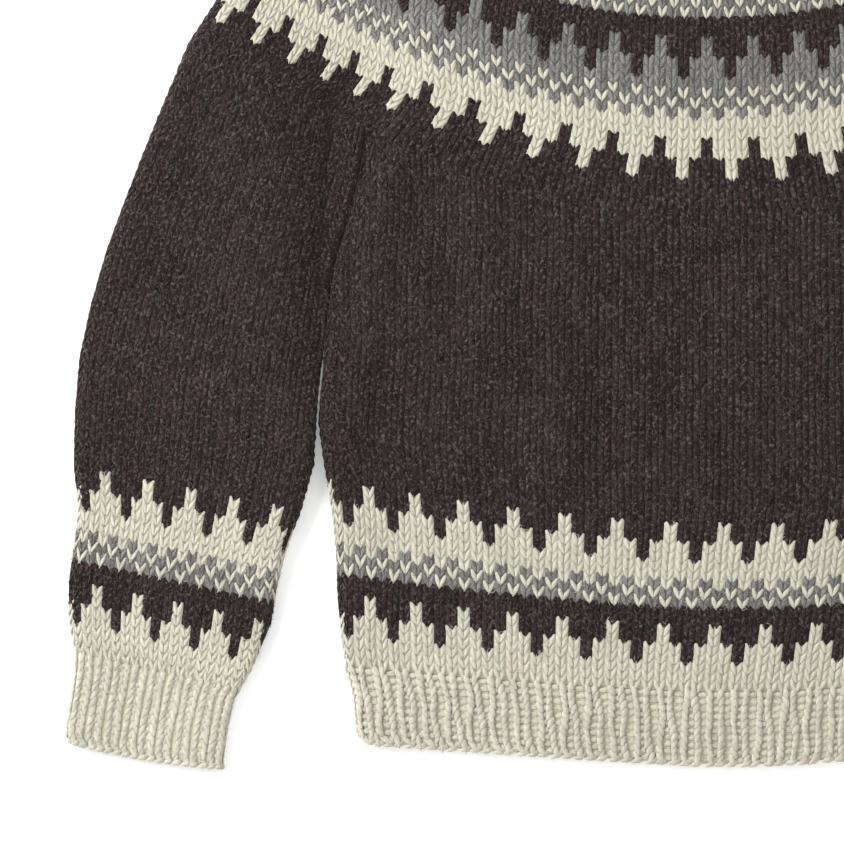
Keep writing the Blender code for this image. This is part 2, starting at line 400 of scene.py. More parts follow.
def set_attribute(mesh: bpy.types.Mesh, name: str, kind: str, domain: str, values: np.ndarray) -> None:
    """Stores values on a mesh under a name."""
    attribute = mesh.attributes.new(name, kind, domain)
    key = {"FLOAT": "value", "INT": "value", "FLOAT_VECTOR": "vector", "FLOAT_COLOR": "color"}[kind]
    attribute.data.foreach_set(key, np.ascontiguousarray(values, np.float32).ravel())


def yarn_colours(yarns: np.ndarray) -> np.ndarray:
    """The colour of each yarn in a list of yarn numbers, with an alpha of one."""
    palette = np.array([(*YARN_LOOKS[yarn].colour, 1.0) for yarn in YARNS])
    return palette[yarns]


def yarn_traits(yarns: np.ndarray) -> np.ndarray:
    """How mixed, how flecked and how tinted each yarn is, as the parts of a vector."""
    looks = [YARN_LOOKS[yarn] for yarn in YARNS]
    traits = np.array([(look.heather, look.fleck, look.tint) for look in looks])
    return traits[yarns]


class StrandMaker:
    """Lays strands with Geometry Nodes: one small spindle, turned and sized at each point."""

    RING_HEIGHTS = (-0.3, 0.06, 0.36)
    RING_WIDTHS = (0.56, 1.0, 0.72)
    RING_ANGLES = (-90.0, -2.0, 58.0, 122.0, 182.0)
    FIBRE_BEND = (0.10, 0.04, 0.16)
    SEED = 7

    def __init__(self) -> None:
        """Makes the spindle and the tree once, for every tube."""
        self.spindle = self.make_spindle()
        self.fibre = self.make_fibre()
        self.tree = self.make_tree()
        self.scatter = np.random.default_rng(self.SEED)

    def make_spindle(self) -> bpy.types.Object:
        """A strand one unit long, wide and deep, rounder on its face than below."""
        points = [(0.0, -0.5, 0.0)]
        strand = [(0.25, 0.0, 0.0)]
        count = len(self.RING_ANGLES)
        for height, width in zip(self.RING_HEIGHTS, self.RING_WIDTHS):
            for angle in np.radians(self.RING_ANGLES):
                points.append((math.cos(angle) * width / 2.0, height, math.sin(angle) * width / 2.0))
                strand.append((angle / (2.0 * math.pi), height + 0.5, 0.0))
        points.append((0.0, 0.5, -0.08))
        strand.append((0.25, 1.0, 0.0))
        faces = [(0, 1 + (i + 1) % count, 1 + i)[::-1] for i in range(count)]
        for ring in range(len(self.RING_HEIGHTS) - 1):
            low = 1 + ring * count
            for i in range(count):
                j = (i + 1) % count
                faces.append((low + i, low + j, low + count + j, low + count + i)[::-1])
        last = 1 + (len(self.RING_HEIGHTS) - 1) * count
        faces += [(last + i, last + (i + 1) % count, last + count)[::-1] for i in range(count)]
        mesh = bpy.data.meshes.new("spindle")
        mesh.from_pydata(points, [], faces)
        mesh.shade_smooth()
        set_attribute(mesh, "strand", "FLOAT_VECTOR", "POINT", np.array(strand))
        return bpy.data.objects.new("spindle", mesh)

    def make_fibre(self) -> bpy.types.Object:
        """A stray fibre one unit long, bent once between its two fine ends."""
        side, along, rise = self.FIBRE_BEND
        points = [(0.0, -0.5, 0.0)]
        points += [(side, along, rise), (side + 1.0, along, rise), (side + 0.5, along, rise + 0.02)]
        points.append((0.0, 0.5, 0.06))
        faces = [(0, 2, 1), (0, 3, 2), (0, 1, 3), (4, 1, 2), (4, 2, 3), (4, 3, 1)]
        mesh = bpy.data.meshes.new("fibre")
        mesh.from_pydata(points, [], faces)
        set_attribute(mesh, "strand", "FLOAT_VECTOR", "POINT", np.zeros((len(points), 3)))
        return bpy.data.objects.new("fibre", mesh)

    def make_tree(self) -> bpy.types.NodeTree:
        """The tree that puts a spindle at each point."""
        tree = bpy.data.node_groups.new("lay_strands", "GeometryNodeTree")
        face = tree.interface
        face.new_socket("Geometry", in_out="INPUT", socket_type="NodeSocketGeometry")
        self.sockets = {
            name: face.new_socket(name, in_out="INPUT", socket_type=kind).identifier
            for name, kind in (
                ("Spindle", "NodeSocketObject"),
                ("Width", "NodeSocketFloat"),
                ("Length", "NodeSocketFloat"),
                ("Depth", "NodeSocketFloat"),
                ("Lean", "NodeSocketFloat"),
                ("Tuck", "NodeSocketFloat"),
                ("Wander", "NodeSocketFloat"),
                ("Seed", "NodeSocketInt"),
                ("Material", "NodeSocketMaterial"),
            )
        }
        face.new_socket("Geometry", in_out="OUTPUT", socket_type="NodeSocketGeometry")
        nodes, links = tree.nodes, tree.links

        def node(kind: str, **settings: object) -> bpy.types.Node:
            """A node with its settings."""
            made = nodes.new(kind)
            for key, value in settings.items():
                setattr(made, key, value)
            return made

        given = node("NodeGroupInput")
        result = node("NodeGroupOutput")

        def attribute(name: str, kind: str) -> bpy.types.NodeSocket:
            """A named attribute of the points."""
            made = node("GeometryNodeInputNamedAttribute", data_type=kind)
            made.inputs["Name"].default_value = name
            return made.outputs["Attribute"]

        def maths(kind: str, *values: object) -> bpy.types.NodeSocket:
            """A sum of two sockets or numbers."""
            made = node("ShaderNodeMath", operation=kind)
            for socket, value in zip(made.inputs, values):
                if isinstance(value, (int, float)):
                    socket.default_value = value
                else:
                    links.new(value, socket)
            return made.outputs[0]

        def chance(low: float, high: float, offset: int) -> bpy.types.NodeSocket:
            """A random number for each strand."""
            made = node("FunctionNodeRandomValue", data_type="FLOAT")
            made.inputs[2].default_value = low
            made.inputs[3].default_value = high
            seed = maths("ADD", given.outputs["Seed"], float(offset))
            links.new(seed, made.inputs["Seed"])
            return made.outputs[1]

        turned = node("FunctionNodeAxesToRotation", primary_axis="Z", secondary_axis="Y")
        links.new(attribute("facing", "FLOAT_VECTOR"), turned.inputs["Primary Axis"])
        links.new(attribute("axis", "FLOAT_VECTOR"), turned.inputs["Secondary Axis"])
        lean = maths("MULTIPLY", attribute("hand", "FLOAT"), given.outputs["Lean"])
        lean = maths("MULTIPLY", lean, -1.0)
        stray = maths("MULTIPLY", chance(-1.0, 1.0, 1), given.outputs["Wander"])
        euler = node("ShaderNodeCombineXYZ")
        links.new(maths("MULTIPLY", given.outputs["Tuck"], -1.0), euler.inputs["X"])
        links.new(maths("ADD", lean, stray), euler.inputs["Z"])
        local = node("FunctionNodeEulerToRotation")
        links.new(euler.outputs[0], local.inputs[0])
        rotate = node("FunctionNodeRotateRotation", rotation_space="LOCAL")
        links.new(turned.outputs[0], rotate.inputs["Rotation"])
        links.new(local.outputs[0], rotate.inputs["Rotate By"])
        parts = node("ShaderNodeSeparateXYZ")
        links.new(attribute("size", "FLOAT_VECTOR"), parts.inputs[0])
        size = node("ShaderNodeCombineXYZ")
        for axis, (name, low, high) in enumerate(
            (("Width", 0.93, 1.07), ("Length", 0.94, 1.06), ("Depth", 0.9, 1.1))
        ):
            scaled = maths("MULTIPLY", parts.outputs[axis], given.outputs[name])
            links.new(maths("MULTIPLY", scaled, chance(low, high, 2 + axis)), size.inputs[axis])
        source = node("GeometryNodeObjectInfo")
        links.new(given.outputs["Spindle"], source.inputs["Object"])
        lay = node("GeometryNodeInstanceOnPoints")
        links.new(given.outputs["Geometry"], lay.inputs["Points"])
        links.new(source.outputs["Geometry"], lay.inputs["Instance"])
        links.new(rotate.outputs[0], lay.inputs["Rotation"])
        links.new(size.outputs[0], lay.inputs["Scale"])
        realize = node("GeometryNodeRealizeInstances")
        links.new(lay.outputs[0], realize.inputs[0])
        dress = node("GeometryNodeSetMaterial")
        links.new(realize.outputs[0], dress.inputs["Geometry"])
        links.new(given.outputs["Material"], dress.inputs["Material"])
        links.new(dress.outputs[0], result.inputs[0])
        return tree

    def lay(
        self,
        name: str,
        strands: Strands,
        size: StrandSize,
        material: bpy.types.Material,
        centre: np.ndarray,
        shape: bpy.types.Object | None = None,
    ) -> bpy.types.Object:
        """Lays a set of strands as one plain mesh.

        Args:
            name: The new piece's name.
            strands: Where the strands go.
            size: Their usual size.
            material: What they are made of.
            centre: How far the garment is moved to stand on the frame's origin, in millimetres.
            shape: What is laid at each place, which is the spindle unless another is given.

        Returns:
            The piece, with its place in its mesh.
        """
        places = np.concatenate(strands.places) + centre
        count = len(places)
        yarns = np.concatenate(strands.yarns)
        mesh = bpy.data.meshes.new(name)
        mesh.from_pydata(places * MM, [], [])
        set_attribute(mesh, "axis", "FLOAT_VECTOR", "POINT", np.concatenate(strands.axes))
        set_attribute(mesh, "facing", "FLOAT_VECTOR", "POINT", np.concatenate(strands.facings))
        set_attribute(mesh, "hand", "FLOAT", "POINT", np.concatenate(strands.hands))
        set_attribute(mesh, "size", "FLOAT_VECTOR", "POINT", np.concatenate(strands.sizes))
        set_attribute(mesh, "yarn", "FLOAT_COLOR", "POINT", yarn_colours(yarns))
        set_attribute(mesh, "trait", "FLOAT_VECTOR", "POINT", yarn_traits(yarns))
        set_attribute(mesh, "tone", "FLOAT", "POINT", self.scatter.random(count))
        piece = bpy.data.objects.new(name, mesh)
        bpy.context.scene.collection.objects.link(piece)
        modifier = piece.modifiers.new("strands", "NODES")
        modifier.node_group = self.tree
        for key, value in (
            ("Spindle", shape or self.spindle),
            ("Width", size.width * MM),
            ("Length", size.length * MM),
            ("Depth", size.depth * MM),
            ("Lean", size.lean),
            ("Tuck", size.tuck),
            ("Wander", size.wander),
            ("Seed", self.SEED + len(name)),
            ("Material", material),
        ):
            modifier[self.sockets[key]] = value
        graph = bpy.context.evaluated_depsgraph_get()
        made = bpy.data.meshes.new_from_object(piece.evaluated_get(graph))
        piece.modifiers.clear()
        piece.data = made
        made.name = name
        bpy.data.meshes.remove(mesh)
        for spare in ("axis", "facing", "hand", "size"):
            if spare in made.attributes:
                made.attributes.remove(made.attributes[spare])
        self.keep_off_floor(made)
        return piece

    def keep_off_floor(self, mesh: bpy.types.Mesh) -> None:
        """Presses flat what would reach into the floor."""
        points = np.empty(len(mesh.vertices) * 3, np.float32)
        mesh.vertices.foreach_get("co", points)
        points[2::3] = np.maximum(points[2::3], 0.0)
        mesh.vertices.foreach_set("co", points)

    def finish(self) -> None:
        """Takes away the two shapes and the tree once everything is laid."""
        bpy.data.objects.remove(self.spindle)
        bpy.data.objects.remove(self.fibre)
        bpy.data.node_groups.remove(self.tree)


class Shade:
    """A socket of a material that sums can be written with."""

    def __init__(self, dress: Dress, socket: bpy.types.NodeSocket) -> None:
        """Wraps a socket of a material that is being made."""
        self.dress = dress
        self.socket = socket

    def __add__(self, other: Shade | float) -> Shade:
        """The sum of two values."""
        return self.dress.maths("ADD", self, other)

    def __sub__(self, other: Shade | float) -> Shade:
        """The difference of two values."""
        return self.dress.maths("SUBTRACT", self, other)

    def __rsub__(self, other: float) -> Shade:
        """A number less this value."""
        return self.dress.maths("SUBTRACT", other, self)

    def __mul__(self, other: Shade | float) -> Shade:
        """The product of two values."""
        return self.dress.maths("MULTIPLY", self, other)

    __radd__ = __add__
    __rmul__ = __mul__


class Dress:
    """A material that is being made, with one method that adds any node."""

    def __init__(self, name: str) -> None:
        """Starts a material with its shader."""
        self.material = bpy.data.materials.new(name)
        self.material.use_nodes = True
        self.tree = self.material.node_tree
        self.shader = self.tree.nodes["Principled BSDF"]

    def node(self, kind: str, settings: dict[str, object], **inputs: object) -> bpy.types.Node:
        """Adds a node.

        Args:
            kind: The node's type.
            settings: Its own settings, which are set first.
            inputs: The values or links of its sockets, by the socket's name or place.

        Returns:
            The node.
        """
        made = self.tree.nodes.new(kind)
        for key, value in settings.items():
            if key == "stops":
                self.set_stops(made.color_ramp, value)
            else:
                setattr(made, key, value)
        for key, value in inputs.items():
            name = key.replace("_", " ")
            socket = made.inputs[int(key[3:])] if key.startswith("at_") else made.inputs[name]
            if isinstance(value, Shade):
                self.tree.links.new(value.socket, socket)
            else:
                socket.default_value = value
        return made

    @staticmethod
    def set_stops(ramp: bpy.types.ColorRamp, stops: list[tuple[float, float]]) -> None:
        """Sets a ramp's stops as pairs of a place and a grey value."""
        while len(ramp.elements) < len(stops):
            ramp.elements.new(0.5)
        for element, (place, value) in zip(ramp.elements, stops):
            element.position = place
            element.color = (value, value, value, 1.0)

    def shade(self, node: bpy.types.Node, output: str | int = 0) -> Shade:
        """An output of a node, for sums."""
        return Shade(self, node.outputs[output])

    def maths(self, kind: str, *values: Shade | float) -> Shade:
        """A sum on values."""
        inputs = {f"at_{i}": value for i, value in enumerate(values)}
        return self.shade(self.node("ShaderNodeMath", {"operation": kind}, **inputs))

    def attribute(self, name: str, output: str) -> Shade:
        """An attribute of the mesh."""
        made = self.node("ShaderNodeAttribute", {"attribute_name": name, "attribute_type": "GEOMETRY"})
        return self.shade(made, output)

    def noise(self, place: Shade, scale: float, detail: float = 2.0) -> Shade:
        """A soft random value over a surface."""
        made = self.node(
            "ShaderNodeTexNoise", {"noise_dimensions": "3D"}, Vector=place, Scale=scale, Detail=detail
        )
        return self.shade(made, "Fac")

    def ramp(self, value: Shade, stops: list[tuple[float, float]]) -> Shade:
        """The value read through a ramp of greys."""
        return self.shade(self.node("ShaderNodeValToRGB", {"stops": stops}, Fac=value))

    def mix(self, factor: Shade | float, low: object, high: object, blend: str = "MIX") -> Shade:
        """One colour mixed into another."""
        made = self.node(
            "ShaderNodeMix",
            {"data_type": "RGBA", "blend_type": blend},
            at_0=factor,
            at_6=low,
            at_7=high,
        )
        return self.shade(made, 2)

    def put(self, name: str, value: object) -> None:
        """Sets or links a socket of the shader."""
        socket = self.shader.inputs[name]
        if isinstance(value, Shade):
            self.tree.links.new(value.socket, socket)
        else:
            socket.default_value = value


@dataclass(frozen=True)
class WoolFinish:
    """Matt wool whose colour comes from the chart, mixed along its fibres."""

    name: str
    roughness: float = 0.92
    sheen: float = 0.06
    specular: float = 0.1
    scatter: float = 0.6
    scatter_reach: tuple[float, float, float] = (1.0, 0.95, 0.8)
    scatter_scale: float = 0.0012
    heather_size: float = 420.0
    patch_size: float = 24.0
    fuzz_size: float = 1100.0
    fleck_size: float = 560.0
    fleck_share: float = 0.46
    least_light: float = 0.12
    streak_depth: float = 0.0005
    # Painted shade in the gaps between strands: how light the ground behind the stitches is made, and the
    # yellowish tint laid on it
    painted_gap_light: float = 1.04
    painted_gap_tint: tuple[float, float, float, float] = (0.98, 0.97, 0.88, 1.0)
    red_tint: tuple[float, float, float, float] = (1.28, 0.94, 0.9, 1.0)
    green_tint: tuple[float, float, float, float] = (0.8, 1.06, 1.1, 1.0)
    fleck_colour: tuple[float, float, float, float] = (0.17, 0.148, 0.134, 1.0)

    def start(self) -> tuple[Dress, Shade, Shade]:
        """The yarn's colour with its heather, shared by the strands and the ground."""
        dress = Dress(self.name)
        place = dress.shade(dress.node("ShaderNodeTexCoord", {}), "Object")
        trait = dress.node("ShaderNodeSeparateXYZ", {}, Vector=dress.attribute("trait", "Vector"))
        mixed = dress.ramp(dress.noise(place, self.heather_size, 3.0), [(0.36, 0.0), (0.64, 1.0)])
        tint = dress.mix(mixed, self.green_tint, self.red_tint)
        colour = dress.attribute("yarn", "Color")
        tinted = dress.mix(1.0, colour, tint, "MULTIPLY")
        colour = dress.mix(dress.shade(trait, "Z"), colour, tinted)
        return dress, colour, place

    def set_shader(self, dress: Dress) -> None:
        """Sets what is the same all over the wool."""
        dress.put("Roughness", self.roughness)
        dress.put("Sheen Weight", self.sheen)
        dress.put("Sheen Roughness", 0.5)
        dress.put("Specular IOR Level", self.specular)
        dress.put("Subsurface Weight", self.scatter)
        dress.put("Subsurface Radius", self.scatter_reach)
        dress.put("Subsurface Scale", self.scatter_scale)

    def strands(self) -> bpy.types.Material:
        """The wool of the stitches, with streaks that run along each strand."""
        dress, colour, place = self.start()
        parts = dress.node("ShaderNodeSeparateXYZ", {}, Vector=dress.attribute("strand", "Vector"))
        tone = dress.attribute("tone", "Fac")
        twisted = dress.shade(parts, "X") + dress.shade(parts, "Y") * 0.35
        streak_place = dress.node(
            "ShaderNodeCombineXYZ", {}, X=twisted * 5.0, Y=dress.shade(parts, "Y") * 1.3, Z=tone * 60.0
        )
        streak = dress.noise(dress.shade(streak_place), 2.0, 3.0)
        fuzz = dress.noise(place, self.fuzz_size, 2.0)
        trait = dress.node("ShaderNodeSeparateXYZ", {}, Vector=dress.attribute("trait", "Vector"))
        heather = dress.shade(trait, "X")
        light = 1.0 + (streak - 0.5) * (heather * 2.2 + 0.36) + (tone - 0.5) * (heather * 0.55 + 0.1)
        light = light + (dress.noise(place, self.patch_size, 2.0) - 0.5) * (heather * 0.9 + 0.08)
        light = light + (fuzz - 0.5) * (heather * 3.6 + 0.24)
        light = dress.maths("MAXIMUM", light, self.least_light)
        colour = self.lit(dress, colour, light)
        fleck = dress.ramp(dress.noise(place, self.fleck_size, 1.0), [(0.53, 0.0), (0.72, 1.0)])
        flecked = fleck * dress.shade(trait, "Y") * self.fleck_share
        colour = dress.mix(flecked, colour, self.fleck_colour)
        dress.put("Base Color", colour)
        bump = dress.node(
            "ShaderNodeBump", {}, Height=streak + fuzz * 0.5, Strength=0.7, Distance=self.streak_depth
        )
        dress.put("Normal", dress.shade(bump))
        self.set_shader(dress)
        return dress.material

    def lit(self, dress: Dress, colour: Shade, light: Shade) -> Shade:
        """The colour made lighter or darker."""
        grey = dress.node("ShaderNodeCombineColor", {}, Red=light, Green=light, Blue=light)
        return dress.mix(1.0, colour, dress.shade(grey), "MULTIPLY")

    def fibres(self) -> bpy.types.Material:
        """The wool's loose fibres, some of them much paler than their yarn."""
        dress, colour, _ = self.start()
        tone = dress.attribute("tone", "Fac")
        trait = dress.node("ShaderNodeSeparateXYZ", {}, Vector=dress.attribute("trait", "Vector"))
        pale = dress.ramp(tone, [(0.25, 0.0), (1.0, 1.0)])
        colour = self.lit(dress, colour, 0.95 + pale * 0.3)
        colour = dress.mix(pale * dress.shade(trait, "X") * 0.62, colour, self.fleck_colour)
        dress.put("Base Color", colour)
        self.set_shader(dress)
        return dress.material

    def ground(self) -> bpy.types.Material:
        """The wool behind the stitches, with painted shade in the gaps between strands, darker for the
        more heathered yarns and yellower for all, and with the knit drawn in its relief.
        """
        dress, colour, place = self.start()
        fuzz = dress.noise(place, self.fuzz_size, 2.0)
        trait = dress.node("ShaderNodeSeparateXYZ", {}, Vector=dress.attribute("trait", "Vector"))
        # Painted shade: the ground is darkened, more for the heathered yarns, and tinted yellow-grey,
        # beside a random tone from the fuzz
        light = self.painted_gap_light - dress.shade(trait, "X") * 0.24 + (fuzz - 0.5) * 0.5
        colour = dress.mix(1.0, self.lit(dress, colour, light), self.painted_gap_tint, "MULTIPLY")
        dress.put("Base Color", colour)
        knit = dress.node("ShaderNodeUVMap", {"uv_map": "knit"})
        parts = dress.node("ShaderNodeSeparateXYZ", {}, Vector=dress.shade(knit))
        side = dress.maths("PINGPONG", dress.shade(parts, "X"), 0.5)
        leg = dress.shade(parts, "Y") - side * 1.2
        along = dress.maths("PINGPONG", leg, 0.5) * 2.0
        across = dress.maths("PINGPONG", side - 0.25, 0.25) * 4.0
        bump = dress.node(
            "ShaderNodeBump",
            {},
            Height=along * 0.6 + (1.0 - across) * 0.8 + fuzz * 0.4,
            Strength=0.8,
            Distance=0.0012,
        )
        dress.put("Normal", dress.shade(bump))
        self.set_shader(dress)
        return dress.material


@dataclass(frozen=True)
class Wool:
    """The three materials of the wool: its stitches, the ground behind them and loose fibres."""

    strands: bpy.types.Material
    ground: bpy.types.Material
    fibres: bpy.types.Material


@dataclass(frozen=True)
class Lie:
    """How a row's stitches lie: how many of the front have gone round each fold, and the spread.

    The spread is how much wider a stitch is in the middle of a side than it would be if all were
    alike.
    """

    left: float = 0.0
    right: float = 0.0
    spread: float = 0.0


@dataclass
class Tube:
    """A knitted tube laid flat, with its ground shell and its stitches."""

    name: str
    slot: str
    chart: tuple[ChartBand, ...]
    rows: int
    stitches: int
    first_column: int
    centre: np.ndarray
    mirror: bool = False
    phase: float = 0.0

    GROUND_INSET = 1.35
    GROUND_UNDER = 0.0
    INNER_INSET = 3.8
    INNER_UNDER = 2.4
    STRAND_INSET = 1.5
    USUAL_STITCH = 7.7
    USUAL_ROW = 5.8
    LOWEST_STRAND = 1.9
    STRAY = 0.028
    FIBRES = 5000
    LEG_REACH = 0.238
    STRAND_ROW = 0.48
    EDGE_CLEAR = 0.3
    UNDER_SHARE = 0.7
    FIBRE_PAST_FOLD = 1.6
    FIBRE_SHIFT = 3.0
    FIBRE_RISE = (0.7, 1.7)
    FIBRE_CLEAR = 1.0
    FIBRE_SIZES = (0.5, 1.3)
    LONE_REACH = 0.2
    LONE_LEAN = 1.25
    LONE_WIDTH = 0.86
    LONE_LENGTH = 0.96
    LONE_RISE = 0.3

    def section(self, row: float) -> Section:
        """The row's shape at this height, from 0 to the number of rows."""
        raise NotImplementedError

    def placed(self, row: float) -> Section:
        """The row's shape on the side of the garment that this tube is on."""
        section = self.section(row)
        return section.mirrored() if self.mirror else section

    def stitches_at(self, row: float) -> int:
        """How many stitches the row has."""
        return self.stitches

    def lie(self, row: float) -> Lie:
        """How the stitches of a row lie round the tube."""
        return Lie()

    def turns(self, columns: np.ndarray, row: float, count: int) -> np.ndarray:
        """Where columns of stitches lie round the ring.

        Args:
            columns: Places counted in stitches from the left fold, round the front.
            row: The row, for tubes whose columns change on the way up.
            count: How many stitches the ring is parted into.

        Returns:
            Places round the ring, where a whole number is the left fold.
        """
        half = count / 2.0
        lie = self.lie(row)
        lap = np.floor((columns - lie.left) / count)
        place = columns - lie.left - lap * count
        front_count = half - lie.left - lie.right
        on_front = place < front_count
        share = np.where(on_front, place / front_count, (place - front_count) / (count - front_count))
        share = share * 2.0 - 1.0
        share = share * (1.0 + lie.spread) - lie.spread * share**3
        return lap + np.where(on_front, 0.0, 0.5) + (share + 1.0) / 4.0

    def grid(self, rows: np.ndarray, columns: np.ndarray, inset: float, under: float) -> np.ndarray:
        """Points of a skin for each of these rows and columns, in millimetres."""
        return np.stack(
            [
                self.placed(row).skin(self.turns(columns, row, self.stitches), inset, under)
                for row in rows
            ]
        )

    def ground(self, material: bpy.types.Material) -> bpy.types.Object:
        """The ground shell: an outer and an inner skin, closed at both edges."""
        rows = np.arange(self.rows + 1, dtype=float)
        columns = np.arange(self.stitches, dtype=float) + self.phase
        outer = self.grid(rows, columns, self.GROUND_INSET, self.GROUND_UNDER)
        inner = self.grid(rows, columns, self.INNER_INSET, self.INNER_UNDER)
        count, height = self.stitches, self.rows + 1
        points = np.concatenate([outer.reshape(-1, 3), inner.reshape(-1, 3)]) + self.centre
        row, column = np.meshgrid(np.arange(self.rows), np.arange(count), indexing="ij")
        after = (column + 1) % count
        low, high = row * count, (row + 1) * count
        faces = np.stack([low + column, low + after, high + after, high + column], axis=-1)
        faces = faces.reshape(-1, 4)
        skin = height * count
        lining = faces[:, ::-1] + skin
        here = np.arange(count)
        there = (here + 1) % count
        foot = np.stack([here + skin, there + skin, there, here], axis=-1)
        top = np.stack([here, there, there + skin, here + skin], axis=-1) + (height - 1) * count
        whole = np.concatenate([faces, lining, foot, top])
        mesh = bpy.data.meshes.new(self.name + "_ground")
        mesh.from_pydata(points * MM, [], whole.tolist())
        mesh.shade_smooth()
        own, yarns = self.cells()
        edge_low, edge_high = yarns[0], yarns[-1]
        cells = np.concatenate([yarns.ravel(), yarns.ravel(), edge_low, edge_high])
        set_attribute(mesh, "yarn", "FLOAT_COLOR", "FACE", yarn_colours(cells))
        set_attribute(mesh, "trait", "FLOAT_VECTOR", "FACE", yarn_traits(cells))
        u = np.stack([own[:, :-1], own[:, 1:], own[:, 1:], own[:, :-1]], axis=-1).reshape(-1, 4)
        v = np.stack([row, row, row + 1, row + 1], axis=-1).reshape(-1, 4)
        edge_u = np.stack([here, here + 1, here + 1, here], axis=-1)
        edge_v = np.tile(np.array([0.0, 0.0, 0.3, 0.3]), (count, 1))
        knit_u = np.concatenate([u, u[:, ::-1], edge_u, edge_u])
        knit_v = np.concatenate([v, v[:, ::-1], edge_v, edge_v + self.rows])
        layer = mesh.uv_layers.new(name="knit")
        layer.data.foreach_set("uv", np.stack([knit_u, knit_v], axis=-1).astype(np.float32).ravel())
        mesh.materials.append(material)
        piece = bpy.data.objects.new(self.name + "_ground", mesh)
        bpy.context.scene.collection.objects.link(piece)
        return piece

    def cells(self) -> tuple[np.ndarray, np.ndarray]:
        """The ground's cells, which keep one count up the tube, read in each row's own stitches.

        Behind a cream stitch that stands alone the ground is grey.

        Returns:
            The column at each cell's edges in the row's own count, and the cell's yarn number.
        """
        edges = np.arange(self.stitches + 1, dtype=float) + self.phase
        own, yarns = [], []
        grey = YARNS.index(Yarn.GREY)
        for row in range(self.rows):
            count = self.stitches_at(row)
            known = np.arange(-count, 2 * count + 1, dtype=float)
            turns = self.turns(known, row + 0.5, count)
            columns = np.interp(self.turns(edges, row + 0.5, self.stitches), turns, known) - self.phase
            middles = np.floor((columns[1:] + columns[:-1]) / 2.0).astype(int)
            own.append(columns)
            yarns.append(np.where(self.stands_alone(row, middles), grey, self.yarn_numbers(row, middles)))
        return np.array(own), np.array(yarns)

    def yarn_numbers(self, row: int, columns: np.ndarray) -> np.ndarray:
        """The yarn number of each of these stitches of a row."""
        return np.array(
            [YARNS.index(chart_yarn(self.chart, row, int(c) - self.first_column)) for c in columns]
        )

    def stands_alone(self, row: int, columns: np.ndarray) -> np.ndarray:
        """Which of these are cream stitches with another yarn all round."""
        yarns = self.yarn_numbers(row, columns)
        alone = yarns == YARNS.index(Yarn.CREAM)
        for step, side in ((0, -1), (0, 1), (-1, 0), (1, 0)):
            alone &= yarns != self.yarn_numbers(row + step, columns + side)
        return alone

    def frame_at(self, row: float, columns: np.ndarray) -> tuple[np.ndarray, ...]:
        """Places on the skin that carries the strands, and the cloth's directions there.

        Args:
            row: A row, which need not be whole.
            columns: Columns, which need not be whole.

        Returns:
            The places, the direction along the row, the direction up the column and the facing,
            and the real size of a stitch across and up.
        """
        step = 0.25
        low, high = max(row - step, 0.0), min(row + step, float(self.rows))
        count = self.stitches_at(row)
        columns = columns + self.wander(columns, row)
        inset, under = self.STRAND_INSET, self.STRAND_INSET * self.UNDER_SHARE

        def skin(columns: np.ndarray, row: float) -> np.ndarray:
            """Points of the skin that carries the strands."""
            return self.placed(row).skin(self.turns(columns, row, count), inset, under)

        here = skin(columns, row)
        right, left = skin(columns + step, row), skin(columns - step, row)
        below, above = skin(columns, low), skin(columns, high)
        across, climb = right - left, above - below
        width = np.linalg.norm(across, axis=-1) / (2.0 * step)
        height = np.linalg.norm(climb, axis=-1) / (high - low)
        across = across / np.linalg.norm(across, axis=-1, keepdims=True)
        climb = climb / np.linalg.norm(climb, axis=-1, keepdims=True)
        facing = np.cross(across, climb)
        facing = facing / np.linalg.norm(facing, axis=-1, keepdims=True)
        return here, across, climb, facing, width, height

    def wander(self, columns: np.ndarray, row: float) -> np.ndarray:
        """How far each column strays from its line at a row, in stitches."""
        whole = np.floor(columns)
        slow = np.sin(row * 0.55 + whole * 2.4) + 0.6 * np.sin(row * 1.15 + whole * whole * 1.7)
        return self.STRAY * slow

    def front_columns(self, row: float) -> np.ndarray:
        """The stitches that get strands: the front's and those round each fold."""
        half = self.stitches_at(row) // 2
        return np.arange(-2, half + 2)

    def stitch_rows(self, start: int, end: int) -> Strands:
        """Both strands of every stitch of the front, in these rows."""
        strands = Strands()
        for row in range(start, end):
            columns = self.front_columns(row)
            yarns = self.yarn_numbers(row, columns)
            lone = self.stands_alone(row, columns)
            rise = self.LONE_RISE * lone
            lean = np.where(lone, self.LONE_LEAN, 1.0)
            slim = np.where(lone, self.LONE_WIDTH, 1.0)
            short = np.where(lone, self.LONE_LENGTH, 1.0)
            reach = np.where(lone, self.LONE_REACH, self.LEG_REACH)
            for hand in (-1.0, 1.0):
                middles = columns + 0.5 + self.phase + hand * reach
                place, _, climb, facing, width, height = self.frame_at(
                    min(row + self.STRAND_ROW, self.rows - self.EDGE_CLEAR), middles
                )
                kept = place[:, 2] > self.LOWEST_STRAND
                place = place + facing * rise[:, None]
                strands.add(
                    place[kept],
                    climb[kept],
                    facing[kept],
                    hand * lean[kept],
                    slim[kept] * width[kept] / self.USUAL_STITCH,
                    short[kept] * height[kept] / self.USUAL_ROW,
                    yarns[kept],
                )
        return strands

